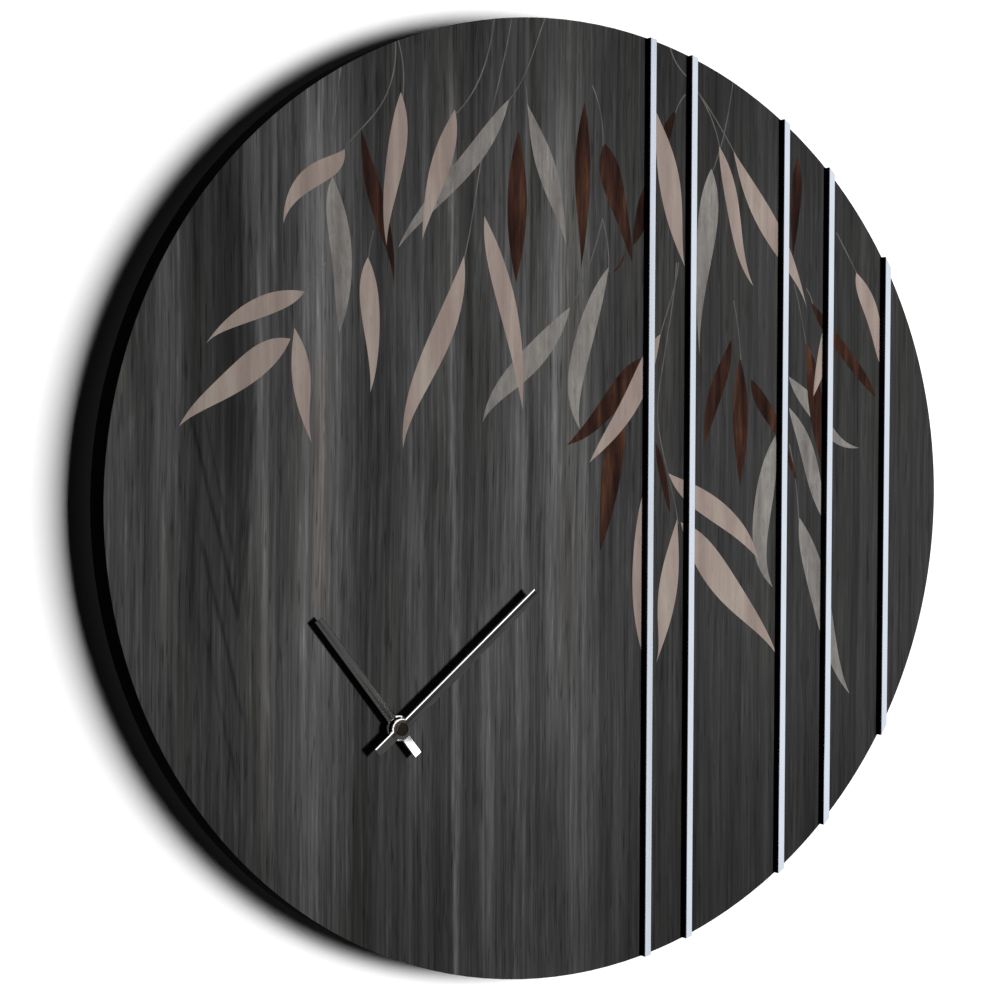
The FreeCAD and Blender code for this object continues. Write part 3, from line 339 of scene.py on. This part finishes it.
def hand_metal(name, ang, length, dim):
    """polished hand with fine lines along it, a painted dark reflection beside its centre line and painted shade
    towards the hub; ang is the way it points at rest
    """
    T = Tree(name)
    x, y, z = T.xyz()
    c, s = math.cos(math.radians(ang)), math.sin(math.radians(ang))
    px, pz = -0.1145, -0.136
    u, w = T.math("SUBTRACT", x, px), T.math("SUBTRACT", z, pz)
    across = T.math("SUBTRACT", T.math("MULTIPLY", u, c), T.math("MULTIPLY", w, s))
    along = T.math("ADD", T.math("MULTIPLY", u, s), T.math("MULTIPLY", w, c))
    comb = T.t.nodes.new("ShaderNodeCombineXYZ")
    T.link(across, comb.inputs[0])
    T.link(y, comb.inputs[1])
    T.link(along, comb.inputs[2])
    v = comb.outputs[0]
    lines = T.noise((1500, 1, 26), 4, 0.65, vec=v)
    specks = T.noise((1100, 1, 420), 3, 0.7, vec=v, loc=(3, 0, 3))
    broad = T.noise((300, 1, 14), 2, 0.5, vec=v, loc=(5, 0, 1))
    col = T.ramp(T.noise((60, 60, 60), 3, 0.5), [(0.3, (0.79, 0.775, 0.765)), (0.7, (0.84, 0.83, 0.815))])
    # soft painted dark reflection beside the centre line, and fine lines
    k = T.math("DIVIDE", T.math("ADD", across, 0.0006), 0.0011)
    band = T.math("EXPONENT", T.math("MULTIPLY", T.math("MULTIPLY", k, k), -1.0))
    inner = T.math("LESS_THAN", T.math("ABSOLUTE", across), 0.00245)
    f = T.math("SUBTRACT", 1.0, T.math("MULTIPLY", band, T.remap(broad, 0.42, 0.64, 0.0, 0.62)))
    f = T.math("MULTIPLY", f, T.remap(lines, 0.32, 0.68, 1.0 - dim, 1.0 + dim * 0.35))
    f = T.math("MULTIPLY", f, T.remap(specks, 0.58, 0.70, 1.0, 0.82, True))
    # painted shade: the arm is darker towards the hub and lighter towards its tip, standing in for its reflection
    f = T.math("MULTIPLY", f, T.remap(along, 0.004, 0.024, 0.62 if length < 0.1 else 0.9, 1.0, True))
    f = T.math("ADD", T.math("MULTIPLY", inner, T.math("SUBTRACT", f, 1.0)), 1.0)
    back = T.math("LESS_THAN", along, -0.0079)
    f = T.math("ADD", T.math("MULTIPLY", T.math("SUBTRACT", 1.0, back), T.math("SUBTRACT", f, 1.0)), 1.0)
    col = T.scale_color(col, f)
    rough = T.remap(lines, 0.3, 0.7, 0.03, 0.06)
    return T.done(col, rough, metallic=1.0, spec=0.5, normal=T.bump(lines, 0.004, 0.00002))


def plain(name, col, rough=0.5, var=0.12, scale=60, grain=1200, bump=0.12, dist=0.0001, metallic=0.0, spec=0.4, stretch=(1, 1, 1), coat=0.0):
    """moulded, painted or cast surface with its own tone, roughness and texture"""
    T = Tree(name)
    a = T.noise((scale * stretch[0], scale * stretch[1], scale * stretch[2]), 4, 0.6)
    b = T.noise((grain * stretch[0], grain * stretch[1], grain * stretch[2]), 4, 0.7)
    c = T.scale_color(T.mix(0.0, col, col), T.remap(a, 0.3, 0.7, 1 - var, 1 + var))
    c = T.scale_color(c, T.remap(b, 0.3, 0.7, 1 - var * 0.5, 1 + var * 0.5))
    r = T.math("ADD", T.remap(a, 0.3, 0.7, rough - 0.06, rough + 0.06), T.remap(b, 0.3, 0.7, -0.03, 0.03))
    nrm = T.bump(b, bump, dist)
    return T.done(c, r, metallic=metallic, spec=spec, normal=nrm, coat=coat)


def mdf(name, col, flecks=0.35, rear_paint=None):
    T = Tree(name)
    a = T.noise((380, 380, 380), 5, 0.75)
    v = T.voronoi((700, 250, 700), out="Distance")
    f = T.remap(v, 0.0, 0.6, 1.0 - flecks, 1.05)
    c = T.scale_color(T.mix(0.0, col, col), f)
    c = T.scale_color(c, T.remap(a, 0.3, 0.7, 0.85, 1.12))
    if rear_paint:
        x, y, z = T.xyz()
        paint = T.math("GREATER_THAN", y, -0.0101)
        c = T.mix(paint, c, T.scale_color(T.mix(0.0, rear_paint, rear_paint), T.remap(a, 0.3, 0.7, 0.8, 1.2)))
    nrm = T.bump(T.math("ADD", a, v), 0.35, 0.0002)
    return T.done(c, T.remap(a, 0.3, 0.7, 0.72, 0.88), spec=0.25, normal=nrm)


def board():
    T = Tree("circuit_board")
    x, y, z = T.xyz()
    v = T.voronoi((420, 1, 420), feature="F1", out="Color")
    g = T.math("FRACT", T.math("MULTIPLY", T.math("ADD", x, z), 420.0))
    tr = T.math("GREATER_THAN", g, 0.72)
    s = T.t.nodes.new("ShaderNodeSeparateColor")
    T.link(v, s.inputs[0])
    m = T.math("MULTIPLY", tr, T.math("GREATER_THAN", s.outputs[0], 0.45))
    col = T.mix(m, (0.012, 0.10, 0.035), (0.03, 0.22, 0.08))
    col = T.scale_color(col, T.remap(T.noise((900, 900, 900), 4), 0.3, 0.7, 0.85, 1.1))
    return T.done(col, T.remap(m, 0, 1, 0.35, 0.28), spec=0.5, normal=T.bump(m, 0.2, 0.00005))


def winding():
    T = Tree("coil_winding")
    x, y, z = T.xyz()
    w = T.math("SINE", T.math("MULTIPLY", x, 2 * math.pi / 0.00016))
    n = T.noise((200, 900, 900), 3)
    col = T.mix(T.remap(w, -1, 1, 0.0, 1.0), (0.20, 0.055, 0.018), (0.62, 0.24, 0.09))
    col = T.scale_color(col, T.remap(n, 0.3, 0.7, 0.8, 1.15))
    return T.done(col, T.remap(n, 0.3, 0.7, 0.22, 0.34), metallic=0.9, normal=T.bump(w, 0.5, 0.00006))


def battery_mat():
    T = Tree("battery_jacket")
    x, y, z = T.xyz()
    lo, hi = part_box("battery")
    u = T.remap(x, lo[0], hi[0], 0.0, 1.0)
    body = T.ramp(u, [(0.0, (0.62, 0.62, 0.60)), (0.012, (0.62, 0.62, 0.60)), (0.014, (0.018, 0.02, 0.026)), (0.66, (0.018, 0.02, 0.026)),
                      (0.662, (0.56, 0.30, 0.10)), (0.94, (0.56, 0.30, 0.10)), (0.942, (0.66, 0.66, 0.64)), (1.0, (0.72, 0.72, 0.70))], "CONSTANT")
    n = T.noise((300, 40, 40), 4, 0.6)
    sc = T.noise((60, 900, 900), 4, 0.7)
    body = T.scale_color(body, T.remap(n, 0.3, 0.7, 0.92, 1.06))
    body = T.mix(T.remap(sc, 0.66, 0.72, 0.0, 0.35), body, (0.4, 0.4, 0.4))
    return T.done(body, T.remap(sc, 0.3, 0.7, 0.22, 0.36), metallic=0.55, spec=0.5, normal=T.bump(n, 0.06, 0.0001))


def stem_mat():
    T = Tree("stem_line")
    a = T.noise((40, 1, 40), 3, 0.5, loc=(4, 0, 4))
    b = T.noise((900, 1, 60), 3, 0.6)
    col = T.ramp(a, [(0.30, lin(66, 65, 65)), (0.70, lin(106, 102, 98))])
    col = T.scale_color(col, T.remap(b, 0.3, 0.7, 0.85, 1.1))
    return T.done(col, T.remap(b, 0.3, 0.7, 0.46, 0.56), spec=0.22, normal=T.bump(b, 0.2, 0.00005))


MATS = {
    "dial": dial_wood(),
    "beige": leaf_wood("leaf_beige", [(0.30, lin(132, 119, 112)), (0.50, lin(147, 132, 125)), (0.70, lin(160, 149, 139))], 0.085, mottle=0.05, dark=0.80, pores=0.16, broad=(80, 1, 9.0)),
    "grey": leaf_wood("leaf_grey", [(0.30, lin(104, 101, 99)), (0.50, lin(122, 118, 115)), (0.70, lin(138, 136, 130))], 0.13, mottle=0.17, dark=0.78, pores=0.30, broad=(90, 1, 12.0), light=0.32),
    "brown": leaf_wood("leaf_brown", [(0.34, lin(30, 20, 18)), (0.48, lin(46, 29, 25)), (0.58, lin(58, 38, 30)), (0.70, lin(82, 56, 41))], 0.30, mottle=0.16, pores=0.35, broad=(130, 1, 14.0), light=0.35),
    "stem": stem_mat(),
    "bar": bar_metal(),
    "minute": hand_metal("polished_minute_hand", 49.6, 0.1232, 0.34),
    "hour": hand_metal("polished_hour_hand", -38.4, 0.086, 0.22),
    # near-black edge paint, made far darker than real lacquer as painted shade for the shaded side wall
    "edge": plain("black_lacquer_and_painted_shade", (0.0009, 0.0009, 0.0010), 0.50, 0.25, 18, 500, 0.10, 0.0001, spec=0.01, stretch=(1, 6, 1)),
    "cap": plain("dark_bronze", (0.085, 0.062, 0.044), 0.34, 0.25, 600, 3000, 0.08, 0.00003, metallic=0.85),
    "dark": plain("black_oxide", (0.015, 0.015, 0.016), 0.36, 0.2, 300, 2500, 0.10, 0.00003, metallic=0.7),
    "core": mdf("raw_board", (0.36, 0.255, 0.16), rear_paint=(0.014, 0.0135, 0.0135)),
    "back": mdf("painted_board", (0.022, 0.021, 0.021), 0.25),
    "zinc": plain("zinc_plate", (0.62, 0.61, 0.57), 0.34, 0.10, 180, 1800, 0.10, 0.00005, metallic=1.0),
    "screw": plain("zinc_screw", (0.66, 0.62, 0.50), 0.30, 0.12, 260, 2600, 0.10, 0.00004, metallic=1.0),
    "case": plain("case_plastic", (0.018, 0.018, 0.020), 0.48, 0.10, 80, 2600, 0.22, 0.00006, spec=0.45),
    "brass": plain("turned_brass", (0.74, 0.55, 0.25), 0.26, 0.08, 120, 1500, 0.10, 0.00004, metallic=1.0, stretch=(1, 3, 1)),
    "chip": plain("epoxy_drop", (0.010, 0.010, 0.011), 0.20, 0.10, 300, 3000, 0.05, 0.00003, spec=0.5),
    "can": plain("drawn_can", (0.78, 0.78, 0.77), 0.22, 0.06, 200, 2400, 0.06, 0.00003, metallic=1.0),
    "iron": plain("iron_sheet", (0.42, 0.42, 0.43), 0.38, 0.12, 250, 2600, 0.12, 0.00004, metallic=1.0),
    "bobbin": plain("bobbin_plastic", (0.72, 0.69, 0.60), 0.42, 0.05, 160, 2400, 0.08, 0.00004),
    "magnet": plain("sintered_magnet", (0.10, 0.10, 0.11), 0.46, 0.20, 900, 3600, 0.25, 0.00005, metallic=0.6),
    "acetal": plain("acetal_gear", (0.80, 0.78, 0.70), 0.36, 0.05, 180, 2600, 0.08, 0.00003),
    "knob": plain("knob_plastic", (0.60, 0.60, 0.57), 0.40, 0.06, 180, 2600, 0.12, 0.00004),
    "rubber": plain("black_rubber", (0.015, 0.015, 0.015), 0.72, 0.15, 300, 2400, 0.25, 0.00006, spec=0.3),
    "spring": plain("nickel_strip", (0.72, 0.70, 0.66), 0.28, 0.08, 300, 2400, 0.10, 0.00003, metallic=1.0),
    "board": board(),
    "copper": winding(),
    "battery": battery_mat(),
}

USE = {
    "core_panel": "core", "edge_band": "edge", "backing_disc": "back", "backing_screws": "screw", "keyhole_hanger": "zinc", "hanger_screws": "screw",
    "leaf_inlays_beige": "beige", "leaf_inlays_grey": "grey", "leaf_inlays_brown": "brown", "stem_inlays": "stem",
    "movement_front_shell": "case", "movement_rear_shell": "case", "train_bridge": "brass", "circuit_board": "board", "driver_chip": "chip",
    "quartz_crystal": "can", "stator_plate": "iron", "coil_core": "iron", "coil_bobbin": "bobbin", "coil_winding": "copper",
    "rotor_magnet": "magnet", "rotor_pinion": "acetal", "intermediate_wheel": "acetal", "second_wheel": "acetal", "third_wheel": "acetal",
    "centre_wheel": "brass", "minute_pipe": "brass", "motion_wheel": "acetal", "set_knob": "knob", "hour_wheel": "brass",
    "threaded_bush": "brass", "rubber_washer": "rubber", "dial_washer": "dark", "hex_nut": "dark", "battery": "battery",
    "positive_contact": "spring", "negative_contact": "spring", "hour_hand": "hour", "minute_hand": "minute", "hand_nut": "cap",
}
for i in range(1, 7):
    USE["face_veneer_%d" % i] = "dial"
for i in range(1, 6):
    USE["metal_bar_%d" % i] = "bar"
for name, key in USE.items():
    me = nodes[name].data
    me.materials.clear()
    me.materials.append(MATS[key])


# ---------------------------------------------------------------------------
# wall, floor, lights
# ---------------------------------------------------------------------------
def plane(name, pts, mat):
    me = bpy.data.meshes.new(name)
    me.from_pydata(pts, [], [(0, 1, 2, 3)])
    me.materials.append(mat)
    ob = bpy.data.objects.new(name, me)
    scene.collection.objects.link(ob)
    return ob


def wall_mat():
    T = Tree("wall_paint")
    n = T.noise((300, 300, 300), 4)
    col = T.scale_color(T.mix(0.0, (0.88, 0.88, 0.88), (0.88, 0.88, 0.88)), T.remap(n, 0.3, 0.7, 0.995, 1.005))
    m = T.done(col, 0.9, spec=0.0)
    t = T.t
    geo = t.nodes.new("ShaderNodeNewGeometry")
    tr = t.nodes.new("ShaderNodeBsdfTransparent")
    mx = t.nodes.new("ShaderNodeMixShader")
    t.links.new(geo.outputs["Backfacing"], mx.inputs[0])
    t.links.new(T.b.outputs[0], mx.inputs[1])
    t.links.new(tr.outputs[0], mx.inputs[2])
    t.links.new(mx.outputs[0], T.out.inputs["Surface"])
    return m


def floor_mat():
    T = Tree("floor_paint")
    n = T.noise((40, 40, 40), 4)
    col = T.scale_color(T.mix(0.0, (0.80, 0.80, 0.79), (0.80, 0.80, 0.79)), T.remap(n, 0.3, 0.7, 0.99, 1.01))
    return T.done(col, 0.8, spec=0.1)


FLOOR_Z = -1.05
YW = 0.0006
wall = plane("stage_wall", [(-8, YW, FLOOR_Z), (8, YW, FLOOR_Z), (8, YW, 7), (-8, YW, 7)], wall_mat())
floor = plane("stage_floor", [(-8, -9, FLOOR_Z), (8, -9, FLOOR_Z), (8, 9, FLOOR_Z), (-8, 9, FLOOR_Z)], floor_mat())
for ob in (wall,):
    ob.visible_shadow = False
    ob.visible_diffuse = False
    ob.visible_glossy = False
    ob.visible_transmission = False
floor.visible_glossy = False
floor.visible_diffuse = False

only_wall = bpy.data.collections.new("lit_stage")
only_clock = bpy.data.collections.new("lit_clock")
only_wall.objects.link(wall)
only_floor = bpy.data.collections.new("lit_floor")
only_floor.objects.link(floor)
for ob in nodes.values():
    only_clock.objects.link(ob)


def area(name, loc, target, size, power, color=(1, 1, 1), size_y=None, to=None, glossy=True, diffuse=True, shape="RECTANGLE"):
    d = bpy.data.lights.new(name, "AREA")
    d.shape = shape
    d.size = size
    if shape in ("RECTANGLE", "ELLIPSE"):
        d.size_y = size_y or size
    d.energy = power
    d.color = color
    ob = bpy.data.objects.new(name, d)
    scene.collection.objects.link(ob)
    v = Vector(loc) - Vector(target)
    ob.rotation_mode = "QUATERNION"
    ob.rotation_quaternion = v.to_track_quat("Z", "Y")
    ob.location = loc
    ob.visible_camera = False
    ob.visible_glossy = glossy
    ob.visible_diffuse = diffuse
    if to is not None:
        ob.light_linking.receiver_collection = to
    return ob


def group(name, names):
    c = bpy.data.collections.new(name)
    for n in names:
        c.objects.link(nodes[n])
    return c


def at(az, el, dist, target=(0, -0.03, 0)):
    a, e = math.radians(az), math.radians(el)
    return (target[0] + dist * math.sin(a) * math.cos(e), target[1] - dist * math.cos(a) * math.cos(e), target[2] + dist * math.sin(e))


KEY = area("key", at(22, 2, 2.8), (0, -0.03, 0), 0.42, 92, (1.0, 1.0, 1.0), to=only_clock, glossy=False, shape="DISK")
WALL = area("wall_wash", at(25.8, 0, 2.729, (0, 0, 0)), (0, 0, 0), 1.557, 123, (1, 1, 1), size_y=0.948, to=only_wall, glossy=False)
# tall card that the bars mirror
CARD = area("bar_card", (1.76, -2.03, 0.0), (1.76, 0, 0.0), 0.92, 6.3, (0.86, 0.92, 1.0), size_y=2.6, to=group("lit_bars", ["metal_bar_%d" % i for i in range(1, 6)]), glossy=True, diffuse=False)
# overhead card that the upper bevels of the minute hand mirror
metal_bits = group("lit_hands", ["minute_hand", "hand_nut", "hex_nut", "dial_washer"])
TOP = area("hand_top_card", (-0.60, -0.62, 1.20), (-0.10, -0.04, -0.10), 0.9, 4.6, (1, 1, 1), size_y=0.9, to=metal_bits, glossy=True, diffuse=False)
# ring of cards round it, mirrored in the bevel of the round eyes
HUB = Vector((-0.1145, -0.04, -0.136))
both_hands = group("lit_both_hands", ["minute_hand", "hour_hand"])
for n, d, to in (("a", (-0.882, -0.454, -0.122), metal_bits), ("b", (-0.765, -0.463, 0.447), metal_bits),
                 ("d", (0.06, -0.27, 0.96), both_hands), ("e", (0.454, -0.122, 0.882), both_hands)):
    area("eye_card_" + n, tuple(HUB + Vector(d).normalized() * 1.2), tuple(HUB), 0.66, 2.0, (1, 1, 1), to=to, glossy=True, diffuse=False)
# small card for the short end of the hour hand, and three weak ones that make
# the arm lighter towards its tip
hour_only = group("lit_hour", ["hour_hand"])
TAIL = area("hour_tail_card", (0.95, -2.03, -0.604), (0.95, 0, -0.604), 0.50, 1.5, (1, 1, 1), size_y=0.34, to=hour_only, glossy=True, diffuse=False)
for n, z0, power in (("1", -0.365, 0.0055), ("2", -0.325, 0.0065), ("3", -0.285, 0.0070)):
    area("hour_arm_card_" + n, (0.82, -2.03, z0 + 0.10), (0.82, 0, z0 + 0.10), 0.40, power, (1, 1, 1), size_y=0.20, to=hour_only, glossy=True, diffuse=False)
# cards mirrored by the bars and hands from straight in front and from the right
all_metal = group("lit_metal", ["metal_bar_%d" % i for i in range(1, 6)] + ["minute_hand", "hour_hand"])
area("front_card", (0.10, -2.70, 0.10), (0.10, 0, 0.0), 0.80, 5.2, (0.93, 0.96, 1.0), size_y=2.4, to=all_metal, glossy=True, diffuse=False)
area("side_card", (-1.62, -1.82, -1.14), (0.10, -0.04, 0.0), 0.95, 3.4, (0.93, 0.96, 1.0), size_y=1.3, to=all_metal, glossy=True, diffuse=False)
# even light for the floor only
area("floor_light", (0, 0, 7.0), (0, 0, 0), 14.0, 3400, (1, 1, 1), to=only_floor, glossy=False)
# soft light for the back, seen only from behind
REAR_NAMES = ["core_panel", "backing_disc", "backing_screws", "keyhole_hanger", "hanger_screws", "movement_front_shell", "movement_rear_shell",
              "set_knob", "battery", "positive_contact", "negative_contact"]
BACKL = area("rear", at(205, 35, 2.6), (0, 0, 0), 1.4, 46, (1, 1, 1), to=group("lit_rear", REAR_NAMES), glossy=True)

w = bpy.data.worlds.new("world")
scene.world = w
w.use_nodes = True
nt = w.node_tree
nt.nodes.clear()
out = nt.nodes.new("ShaderNodeOutputWorld")
bg_cam = nt.nodes.new("ShaderNodeBackground")
bg_cam.inputs[0].default_value = (1, 1, 1, 1)
bg_cam.inputs[1].default_value = 1.0
bg_dif = nt.nodes.new("ShaderNodeBackground")
bg_dif.inputs[0].default_value = (1, 1, 1, 1)
bg_dif.inputs[1].default_value = 0.002
bg_glo = nt.nodes.new("ShaderNodeBackground")
bg_glo.inputs[0].default_value = (1, 1, 1, 1)
bg_glo.inputs[1].default_value = 0.075
lp = nt.nodes.new("ShaderNodeLightPath")
mg = nt.nodes.new("ShaderNodeMixShader")
nt.links.new(lp.outputs["Is Glossy Ray"], mg.inputs[0])
nt.links.new(bg_dif.outputs[0], mg.inputs[1])
nt.links.new(bg_glo.outputs[0], mg.inputs[2])
mx = nt.nodes.new("ShaderNodeMixShader")
nt.links.new(lp.outputs["Is Camera Ray"], mx.inputs[0])
nt.links.new(mg.outputs[0], mx.inputs[1])
nt.links.new(bg_cam.outputs[0], mx.inputs[2])
nt.links.new(mx.outputs[0], out.inputs[0])

scene.view_settings.view_transform = "Standard"
scene.view_settings.look = "None"
scene.view_settings.exposure = 0.0
scene.view_settings.gamma = 1.0

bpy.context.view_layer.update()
